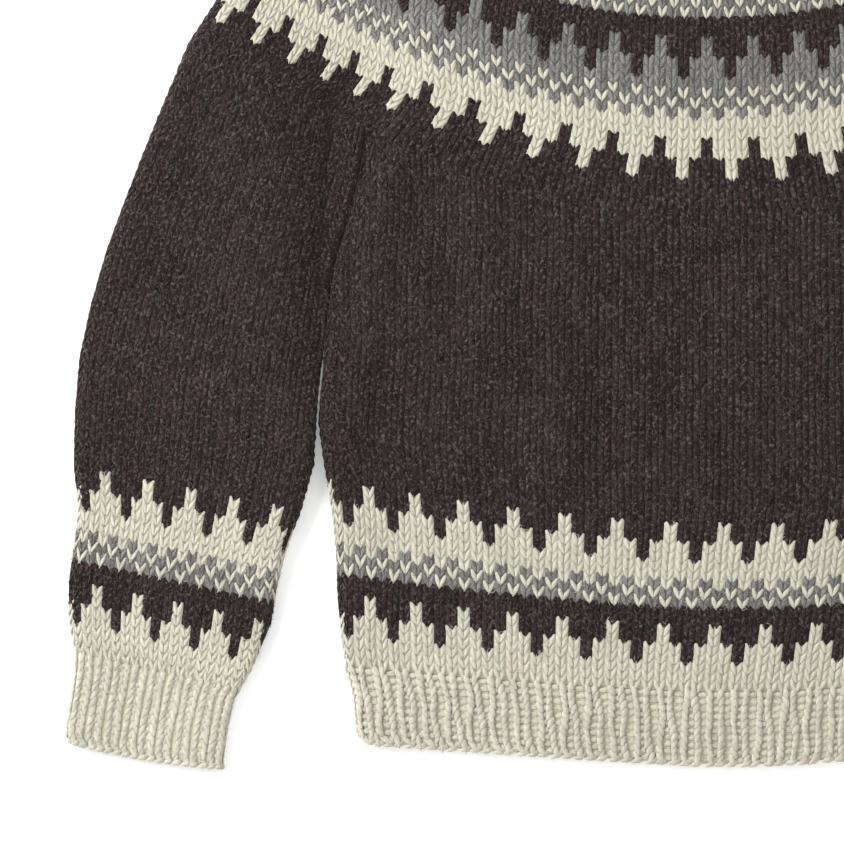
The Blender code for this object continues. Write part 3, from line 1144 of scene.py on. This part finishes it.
    def fibres(self, scatter: np.random.Generator) -> Strands:
        """Loose fibres all over the front and round the folds, as many as its area needs."""
        strands = Strands()
        share = self.FIBRES / self.rows
        for row in range(self.rows):
            count = int(share)
            half = self.stitches_at(row) / 2.0
            past = self.FIBRE_PAST_FOLD
            columns = scatter.uniform(-past, half + past, count)
            clear = self.EDGE_CLEAR
            at = float(np.clip(row + scatter.uniform(0.1, 0.9), clear, self.rows - clear))
            place, _, climb, facing, _, _ = self.frame_at(at, columns)
            place = place + climb * scatter.uniform(-self.FIBRE_SHIFT, self.FIBRE_SHIFT, (count, 1))
            place = place + facing * scatter.uniform(*self.FIBRE_RISE, (count, 1))
            kept = place[:, 2] > self.LOWEST_STRAND + self.FIBRE_CLEAR
            sizes = scatter.uniform(*self.FIBRE_SIZES, count)
            yarns = self.yarn_numbers(row, np.floor(columns - self.phase).astype(int))
            strands.add(
                place[kept], climb[kept], facing[kept], 0.0, np.ones(kept.sum()), sizes[kept], yarns[kept]
            )
        return strands

    def flat_size(self) -> tuple[float, float, float]:
        """The widest ring, the longest column and the area of the knitted tube, in metres."""
        rows = np.arange(self.rows + 1, dtype=float)
        columns = np.arange(self.stitches + 1, dtype=float)
        points = self.grid(rows, columns, self.GROUND_INSET, self.GROUND_UNDER) * MM
        across = np.linalg.norm(np.diff(points, axis=1), axis=-1)
        climb = np.linalg.norm(np.diff(points, axis=0), axis=-1)
        a = points[1:, 1:] - points[:-1, :-1]
        b = points[1:, :-1] - points[:-1, 1:]
        area = np.linalg.norm(np.cross(a, b), axis=-1).sum() / 2.0
        width = across.sum(axis=1).max()
        length = climb.sum(axis=0).max()
        return float(width), float(length), float(min(area, width * length))

    def build(self, maker: StrandMaker, wool: Wool) -> None:
        """Builds the tube's pieces, hides its part, puts each piece under the root body and logs its
        faces and the tube's cut size.
        """
        shell = self.ground(wool.ground)
        pieces = self.pieces(maker, wool.strands)
        loose = self.fibres(maker.scatter)
        pieces.append(
            maker.lay(self.name + "_fibres", loose, STRAY_FIBRE, wool.fibres, self.centre, maker.fibre)
        )
        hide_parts(self.name)
        for piece in [shell, *pieces]:
            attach(piece, "root")
            LOG.info("%s: %d faces", piece.name, len(piece.data.polygons))
        width, length, area = self.flat_size()
        LOG.info("%s: cut %.3f by %.3f m, %.4f square metres", self.name, width, length, area)

    def pieces(self, maker: StrandMaker, material: bpy.types.Material) -> list[bpy.types.Object]:
        """The tube's stitches, as one piece or several."""
        raise NotImplementedError


@dataclass
class PlainTube(Tube):
    """A tube of plain knitting, all V shapes."""

    parts: tuple[int, ...] = (0,)

    def pieces(self, maker: StrandMaker, material: bpy.types.Material) -> list[bpy.types.Object]:
        """The stitches, in as many pieces as the tube is parted into."""
        ends = [*self.parts[1:], self.rows]
        made = []
        for start, end in zip(self.parts, ends):
            strands = self.stitch_rows(start, end)
            name = f"{self.name}_stitches_{start}"
            made.append(maker.lay(name, strands, KNIT_STRAND, material, self.centre))
        return made


HEM_TOP_SIDE, HEM_TOP_MIDDLE = 60.8, 45.0
UNDERARM_SIDE, UNDERARM_MIDDLE = 393.7, 344.1
HEM_EDGE_SIDE = 13.6
LEVEL_SHARE = 0.16
FOLD_HEIGHT, MIDDLE_HEIGHT, UNDERARM_HEIGHT = 11.4, 8.9, 9.6
BAND_CURVE, SLEEVE_CURVE, YOKE_CURVE, NECK_CURVE = 1.35, 2.0, 1.85, 2.6

# How high the left fold, the right fold and the middle of most rows stand
USUAL_HEIGHTS = (FOLD_HEIGHT, FOLD_HEIGHT, MIDDLE_HEIGHT)


@dataclass
class Body(PlainTube):
    """The body, from the ribbed hem to the underarm. Its rows sag in the middle."""

    FIBRES = 9000
    # Row, then how many stitches have gone round the left fold, round the right, and the spread
    LIES = [
        (0.0, 1.5, -1.2, 0.042),
        (5.0, 1.1, -0.9, 0.047),
        (20.0, 0.0, -0.1, 0.085),
        (33.0, 0.0, 0.0, 0.085),
        (52.0, 3.4, 3.4, 0.07),
    ]

    # The side's height above the hem, and the half width there
    EDGES = [
        (60.8, 224.8),
        (76.9, 227.5),
        (101.7, 230.0),
        (126.5, 230.6),
        (151.3, 232.5),
        (176.1, 236.2),
        (213.3, 241.2),
        (238.1, 239.9),
        (262.9, 238.1),
        (293.9, 234.4),
        (318.7, 229.4),
        (343.5, 222.0),
        (368.3, 217.0),
        (393.7, 213.3),
    ]

    def section(self, row: float) -> Section:
        """The row's shape."""
        share = row / self.rows
        side = between(HEM_TOP_SIDE, UNDERARM_SIDE, share)
        middle = between(HEM_TOP_MIDDLE, UNDERARM_MIDDLE, share)
        (half,) = read_rows(self.EDGES, side)
        curve = between(BAND_CURVE, YOKE_CURVE, share)
        sag = side - middle
        return Section(-half, side, half, side, sag, sag, curve, *USUAL_HEIGHTS, level=LEVEL_SHARE)

    def lie(self, row: float) -> Lie:
        """How the stitches lie, more of them round the folds where the body is narrow."""
        return Lie(*read_rows(self.LIES, row))


@dataclass
class Sleeve(PlainTube):
    """A sleeve, from the cuff to the yoke, lower where it lies against the body."""

    CLEARANCE = 0.8
    TUCK = 3.8
    TOP_TUCK = 2.4
    JOIN_SAG = 2.1
    JOIN_ROWS = 17.0
    RISE_ROWS = 5.0
    PRESSED_FOLD = 6.4
    TOUCH_ROW = 24.0
    TOUCH_ROWS = 16.0
    LOST_AT_CUFF = 2.0
    WHOLE_ROW = 11.0
    # Row, then the outer end across and up, then the end next to the body
    SECTIONS = [
        (0.0, -393.1, 69.4, -287.7, 45.9),
        (2.0, -396.0, 83.0, -281.0, 57.6),
        (4.0, -397.1, 94.9, -275.9, 69.1),
        (7.0, -396.8, 114.1, -268.7, 87.4),
        (11.0, -393.0, 140.1, -264.3, 113.2),
        (14.0, -391.3, 159.3, -259.8, 132.3),
        (18.0, -393.7, 184.8, -251.1, 156.9),
        (23.5, -393.0, 218.6, -243.3, 185.5),
        (29.0, -390.2, 252.3, -242.0, 215.5),
        (34.5, -383.0, 285.6, -240.2, 245.4),
        (40.0, -373.6, 318.1, -237.4, 275.3),
        (45.5, -361.9, 350.0, -233.0, 304.9),
        (51.0, -349.5, 381.5, -225.7, 333.7),
        (56.5, -336.3, 412.7, -219.0, 362.7),
        (62.0, -320.5, 449.5, -214.6, 394.2),
    ]

    def section(self, row: float) -> Section:
        """The row's shape on the left sleeve."""
        near_body = float(smooth((row - self.TOUCH_ROW) / self.TOUCH_ROWS))
        near_yoke = float(smooth(1.0 - (self.rows - row) / self.JOIN_ROWS))
        at_yoke = float(smooth(1.0 - (self.rows - row) / self.RISE_ROWS))
        sag = self.JOIN_SAG * near_yoke
        outer_x, outer_up, inner_x, inner_up = read_rows(self.SECTIONS, row)
        inner_fold = between(FOLD_HEIGHT, self.PRESSED_FOLD, near_body)
        inner_fold = between(inner_fold, UNDERARM_HEIGHT, at_yoke)
        return Section(
            outer_x,
            outer_up,
            inner_x - self.CLEARANCE + self.TUCK * near_body + self.TOP_TUCK * near_yoke,
            inner_up,
            sag,
            sag,
            SLEEVE_CURVE,
            FOLD_HEIGHT,
            inner_fold,
            MIDDLE_HEIGHT,
        )

    def lie(self, row: float) -> Lie:
        """How the stitches lie, some of them round the inner fold near the cuff."""
        inner = self.LOST_AT_CUFF * max(1.0 - row / self.WHOLE_ROW, 0.0)
        return Lie(left=inner) if self.mirror else Lie(right=inner)


@dataclass
class Yoke(PlainTube):
    """The round yoke, whose back climbs higher than its front towards the neck."""

    USUAL_ROW = 6.3
    LONE_LENGTH = 0.88
    NECK_FRONT = 582.0
    NECK_BACK = 618.0
    # The share of the way up, then the fold's half width and its height
    EDGES = [
        (0.0, 320.5, 449.5),
        (0.125, 304.4, 474.0),
        (0.25, 288.3, 499.1),
        (0.375, 270.9, 523.3),
        (0.5, 248.6, 546.2),
        (0.625, 220.1, 566.7),
        (0.75, 185.4, 584.0),
        (0.875, 149.4, 599.5),
        (1.0, 112.8, 613.8),
    ]
    CURVE_EASE = 1.3
    LEVEL_ROWS = 9.0
    MIDDLE_STITCHES = 26.0
    # Row, then the share of the half width within the 13th stitch from the middle, within the
    # 26th and within the one half-way from there to the fold
    COLUMN_SHARES = [
        (0.0, 0.326, 0.652, 0.826),
        (3.0, 0.323, 0.630, 0.806),
        (5.0, 0.316, 0.619, 0.803),
        (7.0, 0.313, 0.622, 0.808),
        (13.0, 0.338, 0.677, 0.838),
        (17.0, 0.354, 0.709, 0.855),
        (20.0, 0.361, 0.722, 0.861),
    ]
    EVEN_ROW = 20.0
    # The row where each decrease starts and the stitches left after it
    DECREASES = ((8, 176), (12, 160), (17, 144), (24, 120), (29, 104), (33, 88), (36, 72))

    def section(self, row: float) -> Section:
        """The row's shape."""
        share = row / self.rows
        half, side = read_rows(self.EDGES, share)
        front = between(UNDERARM_MIDDLE, self.NECK_FRONT, share)
        back = between(UNDERARM_MIDDLE, self.NECK_BACK, share)
        curve = between(YOKE_CURVE, NECK_CURVE, share**self.CURVE_EASE)
        level = LEVEL_SHARE * max(1.0 - row / self.LEVEL_ROWS, 0.0)
        sags = (side - front, side - back)
        return Section(-half, side, half, side, *sags, curve, *USUAL_HEIGHTS, level=level)

    def stitches_at(self, row: float) -> int:
        """How many stitches the row has, fewer after each decrease."""
        counts = [count for start, count in self.DECREASES if row >= start]
        return counts[-1] if counts else self.stitches

    def turns(self, columns: np.ndarray, row: float, count: int) -> np.ndarray:
        """Where columns lie round the ring, crowded over the arms in the first rows."""
        half = count / 2.0
        side = np.floor(columns / half)
        share = (columns - side * half) / half * 2.0 - 1.0
        if row < self.EVEN_ROW:
            middle = self.MIDDLE_STITCHES / (count / 4.0)
            known = [0.0, middle / 2.0, middle, (middle + 1.0) / 2.0, 1.0]
            reach = [0.0, *read_rows(self.COLUMN_SHARES, row), 1.0]
            share = np.interp(np.abs(share), known, reach) * np.sign(share)
        return (side + (share + 1.0) / 2.0) / 2.0


@dataclass
class RibbedTube(Tube):
    """A tube of one knit, one purl rib: cords of knit strands with bars between them."""

    cast_on_row: float = 0.0

    STRAY = 0.08
    FIBRES = 900
    CORD = RIB_STRAND
    CORD_RISE = 0.5
    USUAL_RIB_ROW = 4.5
    LOW_REACH = 0.56
    HIGH_REACH = 0.345
    INNER_BAR = 0.9
    INNER_DROP = 0.6
    PURL_BAR_LENGTH = 1.1
    LOW_PURL_DROP = 1.2
    HIGH_PURL_DROP = 0.6
    CORD_WIDTH_CHANGE = 0.14
    CHANGE_ALONG = 1.9
    CHANGE_UP = 0.8
    EDGE_SLOPE = 0.42

    def pieces(self, maker: StrandMaker, material: bpy.types.Material) -> list[bpy.types.Object]:
        """The cords, the bars between them and the edge."""
        cords, bars, edge = Strands(), Strands(), Strands()
        half = self.stitches // 2
        knits = np.arange(-2, half + 2, 2)
        cream = YARNS.index(Yarn.CREAM)
        for row in range(self.rows):
            at = row + 0.5
            reach = between(self.LOW_REACH, self.HIGH_REACH, at / self.rows)
            for hand in (-1.0, 1.0):
                middles = knits + 1.0 + hand * reach
                place, _, climb, facing, _, height = self.frame_at(at, middles)
                kept = place[:, 2] > self.LOWEST_STRAND
                place = place + facing * self.CORD_RISE
                wave = np.sin(knits * self.CHANGE_ALONG + hand + row * self.CHANGE_UP)
                swell = 1.0 + self.CORD_WIDTH_CHANGE * wave
                cords.add(
                    place[kept],
                    climb[kept],
                    facing[kept],
                    hand,
                    swell[kept],
                    height[kept] / self.USUAL_RIB_ROW,
                    np.full(kept.sum(), cream),
                )
            purl_drop = between(self.LOW_PURL_DROP, self.HIGH_PURL_DROP, at / self.rows)
            inner = (1.0, self.INNER_BAR, self.INNER_DROP)
            for offset, long, drop in (inner, (2.0, self.PURL_BAR_LENGTH, purl_drop)):
                if not long:
                    continue
                place, across, climb, facing, width, height = self.frame_at(at, knits + offset)
                kept = place[:, 2] > self.LOWEST_STRAND
                place = place - facing * drop
                bars.add(
                    place[kept],
                    across[kept],
                    facing[kept],
                    0.0,
                    height[kept] / self.USUAL_RIB_ROW,
                    long * width[kept] / self.USUAL_STITCH,
                    np.full(kept.sum(), cream),
                )
        columns = np.arange(-2, half + 2)
        place, across, climb, facing, width, _ = self.frame_at(self.cast_on_row, columns + 0.5)
        kept = place[:, 2] > self.LOWEST_STRAND
        slope = across + climb * self.EDGE_SLOPE
        edge.add(
            place[kept],
            slope[kept] / np.linalg.norm(slope[kept], axis=-1, keepdims=True),
            facing[kept],
            0.0,
            np.ones(kept.sum()),
            width[kept] / self.USUAL_STITCH,
            np.full(kept.sum(), cream),
        )
        return [
            maker.lay(self.name + "_cords", cords, self.CORD, material, self.centre),
            maker.lay(self.name + "_bars", bars, PURL_BAR, material, self.centre),
            maker.lay(self.name + "_edge", edge, EDGE_STRAND, material, self.centre),
        ]


@dataclass
class Hem(RibbedTube):
    """The ribbed welt below the body, drawn in a little towards its edge."""

    GROUND_INSET = 1.9
    STRAY = 0.1
    FOOT_CURVE = 1.12
    LIES = [(0.0, 1.7, -0.9, 0.045), (10.0, 1.5, -1.2, 0.042)]
    # The share of the way up, then the half width
    EDGES = [(0.0, 212.0), (0.14, 217.2), (0.35, 218.7), (0.6, 219.8), (0.8, 221.9), (1.0, 224.8)]

    def section(self, row: float) -> Section:
        """The row's shape."""
        share = row / self.rows
        (half,) = read_rows(self.EDGES, share)
        side = between(HEM_EDGE_SIDE, HEM_TOP_SIDE, share)
        sag = between(HEM_EDGE_SIDE, HEM_TOP_SIDE - HEM_TOP_MIDDLE, share)
        curve = between(self.FOOT_CURVE, BAND_CURVE, share)
        return Section(-half, side, half, side, sag, sag, curve, *USUAL_HEIGHTS, level=LEVEL_SHARE)

    def lie(self, row: float) -> Lie:
        """How the stitches lie, as at the body's foot."""
        return Lie(*read_rows(self.LIES, row))


@dataclass
class Cuff(RibbedTube):
    """A ribbed cuff, whose strands lie close, with only the purl columns sunk between them."""

    STRAY = 0.06
    LOST = 2.4
    CORD = StrandSize(4.1, 9.2, 2.4, math.radians(13.0), math.radians(5.0), math.radians(7.0))
    CORD_RISE = 0.2
    LOW_REACH = 0.45
    HIGH_REACH = 0.43
    INNER_BAR = 0.0
    PURL_BAR_LENGTH = 0.9
    LOW_PURL_DROP = 0.9
    HIGH_PURL_DROP = 0.7

    # Share of its depth from the edge up, then its outer end, its inner end and its sag
    SECTIONS = [
        (0.0, -396.8, 14.6, -298.4, -2.0, 2.6),
        (0.12, -399.0, 20.5, -298.1, 3.6, 2.4),
        (0.45, -396.2, 39.0, -295.6, 22.5, 1.8),
        (0.8, -393.2, 58.0, -291.6, 40.0, 0.5),
        (1.0, -393.1, 69.4, -287.7, 45.9, 0.0),
    ]

    def section(self, row: float) -> Section:
        """The row's shape on the left cuff."""
        outer_x, outer_up, inner_x, inner_up, sag = read_rows(self.SECTIONS, row / self.rows)
        return Section(
            outer_x,
            outer_up,
            inner_x - Sleeve.CLEARANCE,
            inner_up,
            sag,
            sag,
            SLEEVE_CURVE,
            *USUAL_HEIGHTS,
        )

    def lie(self, row: float) -> Lie:
        """How the stitches lie, some of them round the inner fold."""
        return Lie(left=self.LOST) if self.mirror else Lie(right=self.LOST)


@dataclass
class Neckband(RibbedTube):
    """The ribbed band round the neck, its back standing above its front."""

    DEPTH = 24.0
    HALF_WIDTH = 105.0

    def section(self, row: float) -> Section:
        """The row's shape."""
        share = row / self.rows
        seam_half, seam_side = read_rows(Yoke.EDGES, 1.0)
        half = between(seam_half, self.HALF_WIDTH, share)
        side = seam_side + self.DEPTH * share
        return Section(
            -half,
            side,
            half,
            side,
            seam_side - Yoke.NECK_FRONT,
            seam_side - Yoke.NECK_BACK,
            NECK_CURVE,
            *USUAL_HEIGHTS,
        )


@dataclass(frozen=True)
class Studio:
    """The floor, the light and the camera."""

    camera_height: float = 7.0
    floor_side: float = 8.0
    sensor: float = 36.0
    floor_grey: float = 0.93
    floor_glow: float = 0.22
    sky_strength: float = 0.82
    lamp_target: tuple[float, float, float] = (-0.18, 0.0, 0.0)

    def build_floor(self) -> bpy.types.Object:
        """A plain white floor."""
        half = self.floor_side / 2.0
        mesh = bpy.data.meshes.new("floor")
        corners = [(-half, -half, 0.0), (half, -half, 0.0), (half, half, 0.0), (-half, half, 0.0)]
        mesh.from_pydata(corners, [], [(0, 1, 2, 3)])
        dress = Dress("white_board")
        dress.put("Base Color", (self.floor_grey, self.floor_grey, self.floor_grey, 1.0))
        dress.put("Roughness", 0.9)
        dress.put("Emission Color", (1.0, 1.0, 1.0, 1.0))
        dress.put("Emission Strength", self.floor_glow)
        mesh.materials.append(dress.material)
        floor = bpy.data.objects.new("floor", mesh)
        bpy.context.scene.collection.objects.link(floor)
        return floor

    def build_light(self) -> None:
        """A soft sky and a large soft lamp above, a little to the upper left."""
        world = bpy.data.worlds.new("studio")
        world.use_nodes = True
        sky = world.node_tree.nodes["Background"]
        sky.inputs["Color"].default_value = (1.0, 1.0, 1.0, 1.0)
        sky.inputs["Strength"].default_value = self.sky_strength
        bpy.context.scene.world = world
        for name, place, size, power in (
            ("soft_box", (-1.5, 0.6, 1.1), 1.0, 47.0),
            ("fill_box", (1.8, -0.8, 2.4), 2.0, 14.0),
        ):
            lamp = bpy.data.lights.new(name, "AREA")
            lamp.shape = "SQUARE"
            lamp.size = size
            lamp.energy = power
            light = bpy.data.objects.new(name, lamp)
            light.location = place
            away = np.array(place) - np.array(self.lamp_target)
            light.rotation_euler = (
                math.atan2(math.hypot(away[0], away[1]), away[2]),
                0.0,
                math.atan2(away[0], -away[1]),
            )
            bpy.context.scene.collection.objects.link(light)

    def build_camera(self, centre: np.ndarray) -> None:
        """A camera straight above the middle of the photograph."""
        lens = bpy.data.cameras.new("camera")
        lens.sensor_width = self.sensor
        side = PHOTO_SIDE * MM_PER_PIXEL * MM
        lens.lens = self.sensor * self.camera_height / side
        lens.clip_end = 100.0
        camera = bpy.data.objects.new("camera", lens)
        camera.location = (
            (PHOTO_CENTRE[0] + centre[0]) * MM,
            (PHOTO_CENTRE[1] + centre[1]) * MM,
            self.camera_height + MIDDLE_HEIGHT * MM,
        )
        bpy.context.scene.collection.objects.link(camera)
        bpy.context.scene.camera = camera


def garment_centre() -> np.ndarray:
    """How far the garment moves, in millimetres, to stand on the frame's origin."""
    low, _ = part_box("hem_rib")
    return np.array([0.0, low.y / MM, 0.0])


def main() -> None:
    """Builds the jumper and its studio."""
    logging.basicConfig(level=logging.INFO, format="%(name)s %(message)s")
    centre = garment_centre()
    studio = Studio()
    studio.build_floor()
    studio.build_light()
    studio.build_camera(centre)
    bpy.context.scene.view_settings.view_transform = "Standard"
    finish = WoolFinish("wool")
    wool = Wool(finish.strands(), finish.ground(), finish.fibres())
    maker = StrandMaker()
    tubes: list[Tube] = [
        Body("body", "dark_wool", LOWER_CHART, 52, 124, 0, centre, parts=(0, 18, 35)),
        Yoke("yoke", "patterned_wool", YOKE_CHART, 38, 192, 2, centre, phase=-0.5, parts=(0, 12, 24)),
        Hem("hem_rib", "cream_wool", PLAIN_CREAM, 10, 124, 0, centre),
        Neckband("neckband", "cream_wool", PLAIN_CREAM, 5, 72, 0, centre),
    ]
    for side, mirror in (("left", False), ("right", True)):
        tubes.append(
            Sleeve("sleeve_" + side, "dark_wool", LOWER_CHART, 62, 44, 3, centre, mirror, parts=(0, 31))
        )
        tubes.append(Cuff("cuff_" + side, "cream_wool", PLAIN_CREAM, 11, 44, 0, centre, mirror))
    for tube in tubes:
        tube.build(maker, wool)
    maker.finish()


if __name__ == "__main__":
    main()
